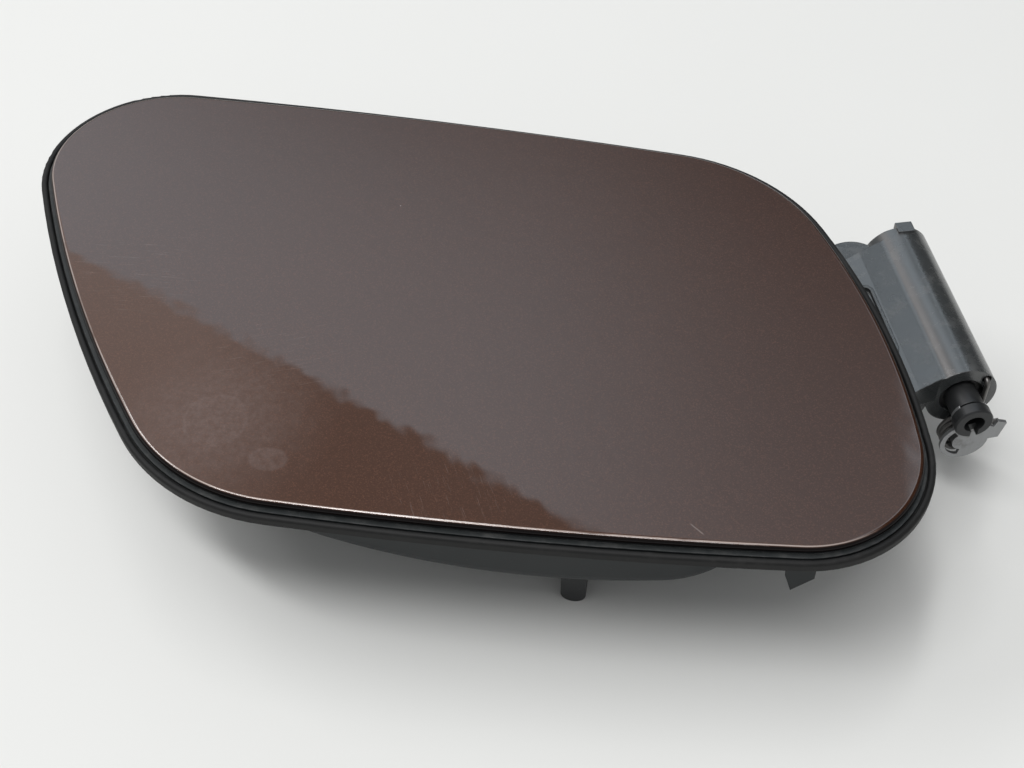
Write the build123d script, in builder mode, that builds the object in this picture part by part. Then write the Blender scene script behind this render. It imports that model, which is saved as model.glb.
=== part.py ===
"""Fuel filler flap with its hinge, in millimetres.

Frame: +Z is the painted face, +X runs along the flap towards the hinge. The origin lies on the
hinge axis at the mouth of the bore in the spindle's end. The hinge axis is level and leans in plan.
"""

import math
import os

from build123d import *

os.makedirs("parts", exist_ok=True)

# Flap outline: four bowed sides with round corners, placed from the middle of the hinge side.
HINGE_SIDE_X = -30.7
HINGE_SIDE_Y = 8.8
HINGE_SIDE_HEIGHT = 109.7
FREE_SIDE_HEIGHT = 123.3
TOP_SIDE = 183.2
BOTTOM_SIDE = 151.2
HINGE_SIDE_LEAN = 19.1
LONG_BOW = 3.1
HINGE_BOW = 9.1
FREE_BOW = 7.4
WIDE_CORNER = 42.6
TIGHT_CORNER = 26.7

# Painted skin, heights above the hinge axis.
FLAP_TOP = 15.0
SKIN_WALL = 0.7
SKIN_EDGE_RADIUS = 1.0
HEM_BOTTOM = 12.2
CROWN_LENGTHWISE = 7000.0
CROWN_CROSSWISE = 1600.0

# Inner panel.
FLANGE_THICKNESS = 1.3
LEDGE_OUT = 0.8
LEDGE_DROP = 0.6
LEDGE_IN = 0.3
DISH_DEPTH = 28.0
DISH_WALL = 2.2
DISH_DRAFT = 6.0
DISH_EDGE_RADIUS = 5.0
DISH_INSET = 10.5
DISH_HINGE_INSET = 25.0
DISH_FREE_INSET = 14.0
DISH_BOW = 8.0
DISH_HINGE_DROP = 4.0
DISH_WIDE_CORNER = 42.0
DISH_TIGHT_CORNER = 28.0
RIB_THICKNESS = 1.6
RIB_DEPTH = 4.0
RIB_PITCH = 24.0
RIB_COUNT = 9
TOOTH_X = -36.0
TOOTH_Y = -39.4
TOOTH_WIDTH = 6.0
TOOTH_THICKNESS = 3.0
TOOTH_TIP = -12.0
TOOTH_SHOULDER = -7.0
TOOTH_LEAN = 1.7

# Rubber seal.
SEAL_OUT = 2.6
SEAL_FOOT_IN = 3.4
SEAL_FOOT = 1.1
BEAD_WIDTH = 1.5
BEAD_HEIGHT = 1.0
BEAD_RADIUS = 0.7

# Hinge line and barrel, stations run along the axis from the bore's mouth.
HINGE_LEAN = 17.0
BARREL_RADIUS = 8.0
BARREL_BORE = 5.0
BARREL_LENGTH = 47.0
BARREL_END_WALL = 3.0
PLATE_TOP = 6.4
PLATE_THICKNESS = 3.2
PLATE_CREASE = 11.5
PLATE_FOOT_TOP = 5.2
PLATE_FOOT_START = 18.0
PLATE_REACH = 37.0
WEB_TOP = 3.6
WEB_THICKNESS = 2.4
WEB_REACH = 29.0
WEB_END = 10.0
WEB_ROOT = 14.0
OBROUND_OUT = 14.4
OBROUND_STATION = 19.3
OBROUND_LENGTH = 22.0
OBROUND_WIDTH = 4.2
OBROUND_LIFT = 0.7
OBROUND_RIM = 0.8
END_TAB = 4.0
ARM_RIB = 2.4
PLATE_FILLET = 2.5
GUSSET_DEPTH = 9.0
ARM_SCREW_OUT = 31.6
ARM_SCREW_FIRST = 3.0
ARM_SCREW_PITCH = 14.0

# Spindle, spring carrier and spring.
RUNNING_CLEARANCE = 0.05
JOURNAL_RADIUS = 3.2
COLLAR_RADIUS = 3.7
BOSS_RADIUS = 4.3
BOSS_LENGTH = 2.6
BORE_RADIUS = 2.3
BORE_DEPTH = 6.0
BORE_SLOT = 1.6
BUSH_LENGTH = 8.0
BUSH_RECESS = 1.0
END_PLAY = 0.1
TAIL_LENGTH = 4.0
CLIP_RADIUS = 5.0
CLIP_THICKNESS = 0.8
CLIP_GROOVE = 2.4
CARRIER_THICKNESS = 0.8
CARRIER_PAD = 5.5
CARRIER_TINE = 4.1
SPRING_WIRE = 1.2
SPRING_RADIUS = 4.2
SPRING_PITCH = 1.28
SPRING_TURNS = 2.75
SPRING_X = 0.6
SPRING_GAP = 0.35
HOOK_X = 8.4
HOOK_Z = -5.6
ANCHOR_HOLE = 1.1
ANCHOR_DEPTH = 4.0
SPRING_BEND = 1.2
SPRING_ARM = 7.4

# Cap cradle, latch striker, buffers and screws.
CRADLE_X = -82.5
CRADLE_Y = 7.8
CRADLE_SPAN = 94.0
CRADLE_WIDTH = 14.0
CRADLE_THICKNESS = 2.4
FINGER_WIDTH = 5.6
FINGER_THICKNESS = 3.0
FINGER_BARB = 1.2
FLOOR_Z = -28.5
STRIKER_X = -162.0
STRIKER_Y = 10.6
STRIKER_BASE = 2.4
STRIKER_WIDTH = 15.0
STRIKER_LENGTH = 40.0
STRIKER_ROD = 4.0
STRIKER_SPAN = 17.0
STRIKER_CORNER = 4.0
STRIKER_SCREW_ROOM = 0.1
BUFFER_RADIUS = 3.2
BUFFER_HEIGHT = 5.4
BUFFER_STEM = 1.8
BUFFER_EDGE = 0.4
BUFFER_ROOM = 0.4
SCREW_RADIUS = 1.6
SCREW_HEAD_RADIUS = 3.4
SCREW_HEAD = 1.9
SCREW_CLEARANCE = 0.4
SCREW_PASS = SCREW_RADIUS + SCREW_CLEARANCE
SCREW_BITE = 5.0
SCREW_DRIVE = 1.4
BOSS_WALL = 2.6

# Heights and stations that follow.
FLANGE_TOP = HEM_BOTTOM
FLANGE_BOTTOM = FLANGE_TOP - FLANGE_THICKNESS
LEDGE_TOP = FLANGE_TOP - LEDGE_DROP
SEAL_BOTTOM = FLANGE_BOTTOM - SEAL_FOOT
DISH_BOTTOM = FLAP_TOP - DISH_DEPTH
COLLAR_OUT = SPRING_TURNS * SPRING_PITCH + SPRING_WIRE + SPRING_GAP
GROOVE_NEAR = -BOSS_LENGTH
GROOVE_FAR = GROOVE_NEAR - CARRIER_THICKNESS
MOUTH = GROOVE_FAR - COLLAR_OUT
BARREL_FAR = MOUTH - BARREL_LENGTH
NEAR_BUSH = MOUTH - BUSH_RECESS
FAR_BUSH = BARREL_FAR + BARREL_END_WALL + BUSH_LENGTH
CLIP_NEAR = BARREL_FAR - END_PLAY
CLIP_FAR = CLIP_NEAR - CLIP_THICKNESS
TAIL_END = CLIP_FAR - TAIL_LENGTH
SPRING_OUTER = SPRING_RADIUS + SPRING_WIRE / 2
SPRING_Z = -(COLLAR_RADIUS + SPRING_OUTER + SPRING_GAP)
COIL_FRONT = GROOVE_FAR - SPRING_WIRE / 2
COIL_BACK = COIL_FRONT - SPRING_PITCH * SPRING_TURNS
HOLE_X = SPRING_X + SPRING_RADIUS
HOLE_Z = math.sqrt(((BARREL_RADIUS + BARREL_BORE) / 2 + 0.2) ** 2 - HOLE_X**2)
FOOT_BOTTOM = PLATE_FOOT_TOP - PLATE_THICKNESS
STRAP_BOTTOM = DISH_BOTTOM - CRADLE_THICKNESS
STRIKER_BOTTOM = DISH_BOTTOM - STRIKER_BASE
STRIKER_SCREW_OUT = STRIKER_SPAN / 2 + STRIKER_ROD / 2 + STRIKER_SCREW_ROOM + SCREW_HEAD_RADIUS
FLAP_LEAN = HINGE_SIDE_HEIGHT * math.tan(math.radians(HINGE_SIDE_LEAN))
LEAN = math.radians(HINGE_LEAN)
CORNER_RADII = [WIDE_CORNER, TIGHT_CORNER, WIDE_CORNER, TIGHT_CORNER]
BUFFER_INSET = SEAL_FOOT_IN + BUFFER_RADIUS + BUFFER_EDGE

# Sketch plane across the hinge axis: x away from the flap, y up, normal towards the bore's mouth.
ACROSS = Plane(
    origin=(0, 0, 0),
    x_dir=(math.cos(LEAN), math.sin(LEAN), 0),
    z_dir=(math.sin(LEAN), -math.cos(LEAN), 0),
)


def hinge_point(out, station):
    """Plan position of a point given by its distance out from the axis and its station along it."""
    x = out * math.cos(LEAN) + station * math.sin(LEAN)
    y = out * math.sin(LEAN) - station * math.cos(LEAN)
    return (x, y)


def corners(long_inset, hinge_inset, free_inset):
    """Corner points of the flap's four sides, moved inwards, anticlockwise from the free low one."""
    half_lean = FLAP_LEAN / 2
    low_hinge = (
        HINGE_SIDE_X + half_lean - hinge_inset,
        HINGE_SIDE_Y - HINGE_SIDE_HEIGHT / 2 + long_inset,
    )
    high_hinge = (
        HINGE_SIDE_X - half_lean - hinge_inset,
        HINGE_SIDE_Y + HINGE_SIDE_HEIGHT / 2 - long_inset,
    )
    low_free = (
        HINGE_SIDE_X + half_lean - BOTTOM_SIDE + free_inset,
        HINGE_SIDE_Y - FREE_SIDE_HEIGHT / 2 + long_inset,
    )
    high_free = (
        HINGE_SIDE_X - half_lean - TOP_SIDE + free_inset,
        HINGE_SIDE_Y + FREE_SIDE_HEIGHT / 2 - long_inset,
    )
    return [low_free, low_hinge, high_hinge, high_free]


def side_circle(start, end, bow):
    """Centre and radius of the arc that bows out to the right of the line from start to end."""
    run_x = end[0] - start[0]
    run_y = end[1] - start[1]
    chord = math.hypot(run_x, run_y)
    radius = (chord * chord / 4 + bow * bow) / (2 * bow)
    inward = (radius - bow) / chord
    centre_x = (start[0] + end[0]) / 2 - run_y * inward
    centre_y = (start[1] + end[1]) / 2 + run_x * inward
    return (centre_x, centre_y, radius)


def circles_meet(first, second, near):
    """The point where two circles cross that lies nearer to a given point."""
    gap_x = second[0] - first[0]
    gap_y = second[1] - first[1]
    gap = math.hypot(gap_x, gap_y)
    along = (first[2] ** 2 - second[2] ** 2 + gap * gap) / (2 * gap)
    across = math.sqrt(first[2] ** 2 - along * along)
    found = []
    for side in (-1, 1):
        x = first[0] + (along * gap_x - side * across * gap_y) / gap
        y = first[1] + (along * gap_y + side * across * gap_x) / gap
        found.append((x, y))
    return min(found, key=lambda point: math.dist(point, near))


def bowed(height, points, bows, radii, grow):
    """Four-sided face with bowed sides and round corners, then grown outwards."""
    circles = []
    for index in range(4):
        x, y, side_radius = side_circle(points[index], points[(index + 1) % 4], bows[index])
        circles.append((x, y, side_radius + grow))
    ends = [circles_meet(circles[index - 1], circles[index], points[index]) for index in range(4)]
    with BuildSketch(Plane.XY.offset(height), mode=Mode.PRIVATE) as shape:
        with BuildLine():
            for index in range(4):
                start = ends[index]
                end = ends[(index + 1) % 4]
                chord = math.dist(start, end)
                side_radius = circles[index][2]
                bow = side_radius - math.sqrt(side_radius**2 - chord * chord / 4)
                SagittaArc(start, end, -bow)
        make_face()
        for end, radius in zip(ends, radii):
            fillet(shape.vertices().sort_by_distance(end)[0], radius + grow)
    return shape.sketch


def flap_face(height, grow):
    """The flap's outline at a height."""
    bows = [LONG_BOW, HINGE_BOW, LONG_BOW, FREE_BOW]
    return bowed(height, corners(0, 0, 0), bows, CORNER_RADII, grow)


def dish_face(height, grow):
    """The dish's outline at a height, rounder than the flap's and set in from it."""
    bows = [DISH_BOW, DISH_BOW, DISH_BOW, DISH_BOW]
    inset = corners(DISH_INSET, DISH_HINGE_INSET, DISH_FREE_INSET)
    inset[1] = (inset[1][0], inset[1][1] - DISH_HINGE_DROP)
    radii = [DISH_WIDE_CORNER, DISH_TIGHT_CORNER, DISH_WIDE_CORNER, DISH_WIDE_CORNER]
    return bowed(height, inset, bows, radii, grow)


def corner_seat(index, inset):
    """Point on a corner's bisector, a distance in from the round of that corner."""
    points = corners(0, 0, 0)
    corner = points[index]
    turns = []
    for other in (points[index - 1], points[(index + 1) % 4]):
        turns.append(math.atan2(other[1] - corner[1], other[0] - corner[0]))
    half = ((turns[0] - turns[1]) % (2 * math.pi)) / 2
    reach = CORNER_RADII[index] * (1 / math.sin(half) - 1) + inset
    middle = turns[1] + half
    return (corner[0] + reach * math.cos(middle), corner[1] + reach * math.sin(middle))


def crown_block(drop):
    """Solid under the crowned surface, curved along the flap and more across it."""
    middle_x = HINGE_SIDE_X - (TOP_SIDE + BOTTOM_SIDE) / 4
    half = TOP_SIDE
    swing = math.degrees(HINGE_SIDE_HEIGHT / CROWN_CROSSWISE)
    tilt = math.radians(swing)
    centre = (middle_x, HINGE_SIDE_Y, FLAP_TOP - drop - CROWN_CROSSWISE)
    start = Plane(origin=centre, x_dir=(1, 0, 0), z_dir=(0, -math.cos(tilt), math.sin(tilt)))
    fall = CROWN_LENGTHWISE - math.sqrt(CROWN_LENGTHWISE**2 - half**2)
    with BuildPart(mode=Mode.PRIVATE) as block:
        with BuildSketch(start):
            with BuildLine():
                Polyline(
                    (-half, CROWN_CROSSWISE - fall),
                    (-half, CROWN_CROSSWISE - 3 * DISH_DEPTH),
                    (half, CROWN_CROSSWISE - 3 * DISH_DEPTH),
                    (half, CROWN_CROSSWISE - fall),
                )
                ThreePointArc(
                    (half, CROWN_CROSSWISE - fall),
                    (0, CROWN_CROSSWISE),
                    (-half, CROWN_CROSSWISE - fall),
                )
            make_face()
        revolve(axis=Axis(centre, (1, 0, 0)), revolution_arc=2 * swing)
    return block.part


ARM_SCREWS = [
    hinge_point(-ARM_SCREW_OUT, MOUTH - ARM_SCREW_FIRST - step * ARM_SCREW_PITCH) for step in range(3)
]
CRADLE_SCREWS = [(CRADLE_X, CRADLE_Y - CRADLE_SPAN / 4), (CRADLE_X, CRADLE_Y + CRADLE_SPAN / 4)]
STRIKER_SCREWS = [
    (STRIKER_X, STRIKER_Y - STRIKER_SCREW_OUT),
    (STRIKER_X, STRIKER_Y + STRIKER_SCREW_OUT),
]
BUFFER_NAMES = ["buffer_free_low", "buffer_hinge_low", "buffer_hinge_high", "buffer_free_high"]
BUFFERS = {name: corner_seat(index, BUFFER_INSET) for index, name in enumerate(BUFFER_NAMES)}

# Painted skin: crowned plate with a turned-down edge.
with BuildPart() as skin_cavity:
    extrude(flap_face(HEM_BOTTOM - 1, -SKIN_WALL), amount=FLAP_TOP)
    add(crown_block(SKIN_WALL), mode=Mode.INTERSECT)
    fillet(skin_cavity.faces().sort_by(Axis.Z)[-1].edges(), SKIN_EDGE_RADIUS - SKIN_WALL)

with BuildPart() as outer_skin:
    extrude(flap_face(HEM_BOTTOM, 0), amount=FLAP_TOP)
    add(crown_block(0), mode=Mode.INTERSECT)
    fillet(outer_skin.faces().sort_by(Axis.Z)[-1].edges(), SKIN_EDGE_RADIUS)
    add(skin_cavity.part, mode=Mode.SUBTRACT)
outer_skin.part.label = "outer_skin"
export_step(outer_skin.part, "parts/outer_skin.step")

# Inner panel: flange under the skin's edge, dish below it, ribs, screw bosses and a tooth.
with BuildPart() as dish_hollow:
    extrude(
        dish_face(FLANGE_TOP, -DISH_WALL),
        amount=-(FLANGE_TOP - DISH_BOTTOM - DISH_WALL),
        taper=DISH_DRAFT,
    )
    fillet(dish_hollow.faces().sort_by(Axis.Z)[0].edges(), DISH_EDGE_RADIUS - DISH_WALL)

with BuildPart() as rib_bars:
    with Locations((HINGE_SIDE_X - TOP_SIDE / 2, HINGE_SIDE_Y, FLANGE_BOTTOM - RIB_DEPTH / 2)):
        with GridLocations(RIB_PITCH, 1, RIB_COUNT, 1):
            Box(RIB_THICKNESS, 2 * FREE_SIDE_HEIGHT, RIB_DEPTH)

with BuildPart() as ribs:
    extrude(flap_face(FLANGE_BOTTOM - RIB_DEPTH, -SEAL_FOOT_IN - 1), amount=RIB_DEPTH)
    add(rib_bars.part, mode=Mode.INTERSECT)

with BuildPart() as inner_panel:
    extrude(dish_face(FLANGE_BOTTOM, 0), amount=DISH_BOTTOM - FLANGE_BOTTOM, taper=DISH_DRAFT)
    fillet(inner_panel.faces().sort_by(Axis.Z)[0].edges(), DISH_EDGE_RADIUS)
    extrude(flap_face(FLANGE_BOTTOM, LEDGE_OUT), amount=LEDGE_TOP - FLANGE_BOTTOM)
    extrude(flap_face(LEDGE_TOP, -LEDGE_IN), amount=LEDGE_DROP)
    add(ribs.part)
    with Locations([(x, y, FLANGE_BOTTOM) for x, y in BUFFERS.values()]):
        Cylinder(
            BUFFER_RADIUS + BUFFER_ROOM,
            RIB_DEPTH,
            align=(Align.CENTER, Align.CENTER, Align.MAX),
            mode=Mode.SUBTRACT,
        )
    with Locations([(x, y, PLATE_FOOT_TOP) for x, y in ARM_SCREWS]):
        Cylinder(
            SCREW_RADIUS + BOSS_WALL,
            FLANGE_BOTTOM - PLATE_FOOT_TOP,
            align=(Align.CENTER, Align.CENTER, Align.MIN),
        )
    with BuildSketch(Plane.XZ.offset(-TOOTH_Y - TOOTH_THICKNESS / 2)):
        with BuildLine():
            Polyline(
                (TOOTH_X - TOOTH_WIDTH / 2, FLANGE_BOTTOM),
                (TOOTH_X - TOOTH_WIDTH / 2, TOOTH_SHOULDER),
                (TOOTH_X - TOOTH_WIDTH / 2 + TOOTH_LEAN, TOOTH_TIP),
                (TOOTH_X + TOOTH_WIDTH / 2, TOOTH_SHOULDER),
                (TOOTH_X + TOOTH_WIDTH / 2, FLANGE_BOTTOM),
                close=True,
            )
        make_face()
    extrude(amount=TOOTH_THICKNESS)
    add(dish_hollow.part, mode=Mode.SUBTRACT)
    with Locations([(x, y, DISH_BOTTOM) for x, y in CRADLE_SCREWS + STRIKER_SCREWS]):
        Cylinder(
            SCREW_RADIUS + BOSS_WALL,
            DISH_WALL + SCREW_BITE,
            align=(Align.CENTER, Align.CENTER, Align.MIN),
        )
    with Locations([(x, y, DISH_BOTTOM) for x, y in CRADLE_SCREWS + STRIKER_SCREWS]):
        Cylinder(
            SCREW_RADIUS,
            SCREW_BITE,
            align=(Align.CENTER, Align.CENTER, Align.MIN),
            mode=Mode.SUBTRACT,
        )
    with Locations([(x, y, PLATE_FOOT_TOP) for x, y in ARM_SCREWS]):
        Cylinder(
            SCREW_RADIUS,
            SCREW_BITE,
            align=(Align.CENTER, Align.CENTER, Align.MIN),
            mode=Mode.SUBTRACT,
        )
    with Locations([(x, y, FLANGE_BOTTOM) for x, y in BUFFERS.values()]):
        Cylinder(BUFFER_STEM, 3 * FLANGE_THICKNESS, mode=Mode.SUBTRACT)
inner_panel.part.label = "inner_panel"
export_step(inner_panel.part, "parts/inner_panel.step")

# Rubber seal: foot under the flange, bead standing up outside it.
with BuildPart() as rim_seal:
    extrude(flap_face(SEAL_BOTTOM, SEAL_OUT), amount=SEAL_FOOT + BEAD_HEIGHT)
    extrude(
        flap_face(FLANGE_BOTTOM, SEAL_OUT - BEAD_WIDTH),
        amount=BEAD_HEIGHT,
        mode=Mode.SUBTRACT,
    )
    fillet(rim_seal.faces().sort_by(Axis.Z)[-1].edges(), BEAD_RADIUS)
    extrude(flap_face(SEAL_BOTTOM, -SEAL_FOOT_IN), amount=SEAL_FOOT, mode=Mode.SUBTRACT)
rim_seal.part.label = "rim_seal"
export_step(rim_seal.part, "parts/rim_seal.step")

# Hinge arm: profile across the axis, trimmed in plan, with the barrel on its end.
with BuildPart() as plan_trim:
    with BuildSketch(Plane.XY.offset(-BARREL_RADIUS)):
        with BuildLine():
            Polyline(
                hinge_point(0, MOUTH),
                hinge_point(0, BARREL_FAR),
                hinge_point(-PLATE_CREASE - 2, BARREL_FAR + 6),
                hinge_point(-PLATE_FOOT_START - 4, BARREL_FAR + 8),
                hinge_point(-PLATE_REACH, BARREL_FAR + 9),
                hinge_point(-PLATE_REACH, MOUTH + 3),
                hinge_point(-PLATE_CREASE - 2, MOUTH + 3),
                hinge_point(-BARREL_RADIUS + 2, MOUTH),
                close=True,
            )
        make_face()
    extrude(amount=3 * BARREL_RADIUS)

with BuildPart() as hinge_arm:
    with BuildSketch(ACROSS.offset(MOUTH + BARREL_RADIUS)):
        with BuildLine():
            Polyline(
                (0, PLATE_TOP),
                (-PLATE_CREASE, PLATE_TOP),
                (-PLATE_FOOT_START, PLATE_FOOT_TOP),
                (-PLATE_REACH - 2, PLATE_FOOT_TOP),
                (-PLATE_REACH - 2, FOOT_BOTTOM),
                (-PLATE_FOOT_START, FOOT_BOTTOM),
                (-PLATE_CREASE, FOOT_BOTTOM - 1),
                (-BARREL_BORE - 1, -1),
                (0, -1),
                close=True,
            )
        make_face()
    extrude(amount=-(BARREL_LENGTH + 2 * BARREL_RADIUS))
    add(plan_trim.part, mode=Mode.INTERSECT)
    with BuildSketch(ACROSS.offset(MOUTH)):
        Circle(BARREL_RADIUS)
    extrude(amount=-BARREL_LENGTH)
    valley = (-math.sqrt(BARREL_RADIUS**2 - PLATE_TOP**2), PLATE_TOP, MOUTH - BARREL_LENGTH / 2)
    fillet(hinge_arm.edges().sort_by_distance(ACROSS.from_local_coords(valley))[0], PLATE_FILLET)
    with BuildSketch(ACROSS.offset(MOUTH - 1)):
        with BuildLine():
            Polyline(
                (-BARREL_BORE - 1, 0),
                (-BARREL_RADIUS - 1, -GUSSET_DEPTH),
                (-PLATE_FOOT_START, -GUSSET_DEPTH),
                (-PLATE_FOOT_START - 4, FOOT_BOTTOM),
                (-PLATE_FOOT_START, FOOT_BOTTOM + 1),
                (-BARREL_BORE - 1, FOOT_BOTTOM + 1),
                close=True,
            )
        make_face()
    extrude(amount=-ARM_RIB)
    with BuildSketch(Plane.XY.offset(WEB_TOP)):
        with BuildLine():
            Spline(
                hinge_point(-BARREL_RADIUS + 1, BARREL_FAR + 0.5),
                hinge_point(-11, BARREL_FAR - 1.5),
                hinge_point(-21, BARREL_FAR + 2.5),
                hinge_point(-WEB_REACH, BARREL_FAR + WEB_END),
            )
            Polyline(
                hinge_point(-WEB_REACH, BARREL_FAR + WEB_END),
                hinge_point(-WEB_REACH, BARREL_FAR + WEB_ROOT),
                hinge_point(-BARREL_RADIUS + 1, BARREL_FAR + WEB_ROOT),
                hinge_point(-BARREL_RADIUS + 1, BARREL_FAR + 0.5),
            )
        make_face()
    extrude(amount=-WEB_THICKNESS)
    for station in (MOUTH - 2, MOUTH - BARREL_LENGTH / 2, BARREL_FAR + 10):
        with BuildSketch(ACROSS.offset(station)):
            with BuildLine():
                Polyline(
                    (-BARREL_BORE, -BARREL_BORE + 1),
                    (-PLATE_FOOT_START - 4, FOOT_BOTTOM),
                    (-PLATE_FOOT_START - 4, FOOT_BOTTOM + 1),
                    (-BARREL_BORE, FOOT_BOTTOM + 1),
                    close=True,
                )
            make_face()
        extrude(amount=-ARM_RIB)
    with BuildSketch(
        Plane(
            origin=(*hinge_point(-OBROUND_OUT, MOUTH - OBROUND_STATION), FOOT_BOTTOM + PLATE_THICKNESS / 2),
            x_dir=(math.sin(LEAN), -math.cos(LEAN), 0),
            z_dir=(0, 0, 1),
        )
    ):
        SlotOverall(OBROUND_LENGTH, OBROUND_WIDTH)
        SlotOverall(
            OBROUND_LENGTH - 2 * OBROUND_RIM, OBROUND_WIDTH - 2 * OBROUND_RIM, mode=Mode.SUBTRACT
        )
    extrude(amount=PLATE_TOP + OBROUND_LIFT - FOOT_BOTTOM - PLATE_THICKNESS / 2)
    with BuildSketch(ACROSS.offset(BARREL_FAR + 2)):
        with Locations((1.0, BARREL_RADIUS - 0.3)):
            Rectangle(END_TAB, 1.6)
    extrude(amount=-3.2)
    with BuildSketch(ACROSS.offset(MOUTH)):
        Circle(BARREL_BORE)
    extrude(amount=-(BARREL_LENGTH - BARREL_END_WALL), mode=Mode.SUBTRACT)
    with BuildSketch(ACROSS.offset(MOUTH)):
        Circle(JOURNAL_RADIUS + SCREW_CLEARANCE)
    extrude(amount=-BARREL_LENGTH, mode=Mode.SUBTRACT)
    with BuildSketch(ACROSS.offset(MOUTH)):
        with Locations((HOLE_X, HOLE_Z)):
            Circle(ANCHOR_HOLE)
    extrude(amount=-ANCHOR_DEPTH - 1, mode=Mode.SUBTRACT)
    with Locations([(x, y, FOOT_BOTTOM) for x, y in ARM_SCREWS]):
        Cylinder(SCREW_PASS, 4 * PLATE_THICKNESS, mode=Mode.SUBTRACT)
hinge_arm.part.label = "hinge_arm"
export_step(hinge_arm.part, "parts/hinge_arm.step")

# Bushes in the barrel's two ends.
for bush_name, bush_start in (("near_bush", NEAR_BUSH), ("far_bush", FAR_BUSH)):
    with BuildPart() as bush:
        with BuildSketch(ACROSS.offset(bush_start)):
            Circle(BARREL_BORE)
            Circle(JOURNAL_RADIUS + RUNNING_CLEARANCE, mode=Mode.SUBTRACT)
        extrude(amount=-BUSH_LENGTH)
    bush.part.label = bush_name
    export_step(bush.part, f"parts/{bush_name}.step")

# Spindle: tail, clip groove, journal, collar, carrier groove and end boss with its bore.
with BuildPart() as hinge_spindle:
    with BuildSketch(ACROSS.offset(TAIL_END)):
        Circle(JOURNAL_RADIUS)
    extrude(amount=-TAIL_END)
    with BuildSketch(ACROSS.offset(CLIP_FAR)):
        Circle(JOURNAL_RADIUS + 1)
        Circle(CLIP_GROOVE, mode=Mode.SUBTRACT)
    extrude(amount=CLIP_THICKNESS, mode=Mode.SUBTRACT)
    with BuildSketch(ACROSS.offset(NEAR_BUSH + END_PLAY)):
        Circle(COLLAR_RADIUS)
    extrude(amount=GROOVE_FAR - NEAR_BUSH - END_PLAY)
    with BuildSketch(ACROSS.offset(GROOVE_NEAR)):
        Circle(BOSS_RADIUS)
    extrude(amount=BOSS_LENGTH)
    chamfer(hinge_spindle.faces().sort_by(Axis(ACROSS.origin, ACROSS.z_dir))[-1].edges(), 0.35)
    chamfer(hinge_spindle.faces().sort_by(Axis(ACROSS.origin, ACROSS.z_dir))[0].edges(), 0.5)
    with BuildSketch(ACROSS):
        Circle(BORE_RADIUS)
    extrude(amount=-BORE_DEPTH, mode=Mode.SUBTRACT)
    with BuildSketch(ACROSS):
        with Locations((0.6, -BOSS_RADIUS)):
            Rectangle(BORE_SLOT, 2 * (BOSS_RADIUS - BORE_RADIUS) + 1)
    extrude(amount=-BOSS_LENGTH + 0.6, mode=Mode.SUBTRACT)
hinge_spindle.part.label = "hinge_spindle"
export_step(hinge_spindle.part, "parts/hinge_spindle.step")

# Retaining clip in the spindle's far groove.
with BuildPart() as spindle_clip:
    with BuildSketch(ACROSS.offset(CLIP_FAR)):
        Circle(CLIP_RADIUS)
        Circle(CLIP_GROOVE, mode=Mode.SUBTRACT)
        with Locations((0, -CLIP_RADIUS)):
            Rectangle(2 * CLIP_GROOVE - 0.6, 2 * CLIP_RADIUS, mode=Mode.SUBTRACT)
    extrude(amount=CLIP_THICKNESS)
spindle_clip.part.label = "spindle_clip"
export_step(spindle_clip.part, "parts/spindle_clip.step")

# Spring carrier: forked plate in the spindle's groove, round pad, hook and stub for the spring.
with BuildPart() as spring_carrier:
    with BuildSketch(ACROSS.offset(GROOVE_FAR)):
        Circle(CARRIER_TINE)
        with Locations((SPRING_X, SPRING_Z)):
            Circle(CARRIER_PAD)
        with BuildLine():
            Polyline(
                (SPRING_X, SPRING_Z - CARRIER_PAD),
                (SPRING_X + CARRIER_PAD, SPRING_Z),
                (HOOK_X, HOOK_Z - 3.0),
                (HOOK_X + 1.0, HOOK_Z + 1.6),
                (HOOK_X - 1.2, HOOK_Z + 2.4),
                (HOOK_X - 1.8, HOOK_Z + 0.6),
                (CARRIER_TINE, -CARRIER_TINE + 0.6),
                (0, -2),
                close=True,
            )
        make_face()
        Circle(JOURNAL_RADIUS, mode=Mode.SUBTRACT)
        with Locations((0, CARRIER_TINE)):
            Rectangle(2 * JOURNAL_RADIUS - 0.6, 2 * CARRIER_TINE, mode=Mode.SUBTRACT)
        with BuildLine():
            CenterArc((SPRING_X, SPRING_Z), SPRING_RADIUS + 0.2, 130, 130)
            CenterArc((SPRING_X, SPRING_Z), SPRING_RADIUS - 1.5, 130, 130)
            Line(
                (
                    SPRING_X + (SPRING_RADIUS + 0.2) * math.cos(math.radians(130)),
                    SPRING_Z + (SPRING_RADIUS + 0.2) * math.sin(math.radians(130)),
                ),
                (
                    SPRING_X + (SPRING_RADIUS - 1.5) * math.cos(math.radians(130)),
                    SPRING_Z + (SPRING_RADIUS - 1.5) * math.sin(math.radians(130)),
                ),
            )
            Line(
                (
                    SPRING_X + (SPRING_RADIUS + 0.2) * math.cos(math.radians(260)),
                    SPRING_Z + (SPRING_RADIUS + 0.2) * math.sin(math.radians(260)),
                ),
                (
                    SPRING_X + (SPRING_RADIUS - 1.5) * math.cos(math.radians(260)),
                    SPRING_Z + (SPRING_RADIUS - 1.5) * math.sin(math.radians(260)),
                ),
            )
        make_face(mode=Mode.SUBTRACT)
    extrude(amount=CARRIER_THICKNESS)
    with BuildSketch(ACROSS.offset(GROOVE_FAR)):
        with Locations((SPRING_X, SPRING_Z)):
            Circle(SPRING_RADIUS - SPRING_WIRE / 2 - 1)
    extrude(amount=-(COLLAR_OUT - SPRING_GAP))
spring_carrier.part.label = "spring_carrier"
export_step(spring_carrier.part, "parts/spring_carrier.step")

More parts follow.
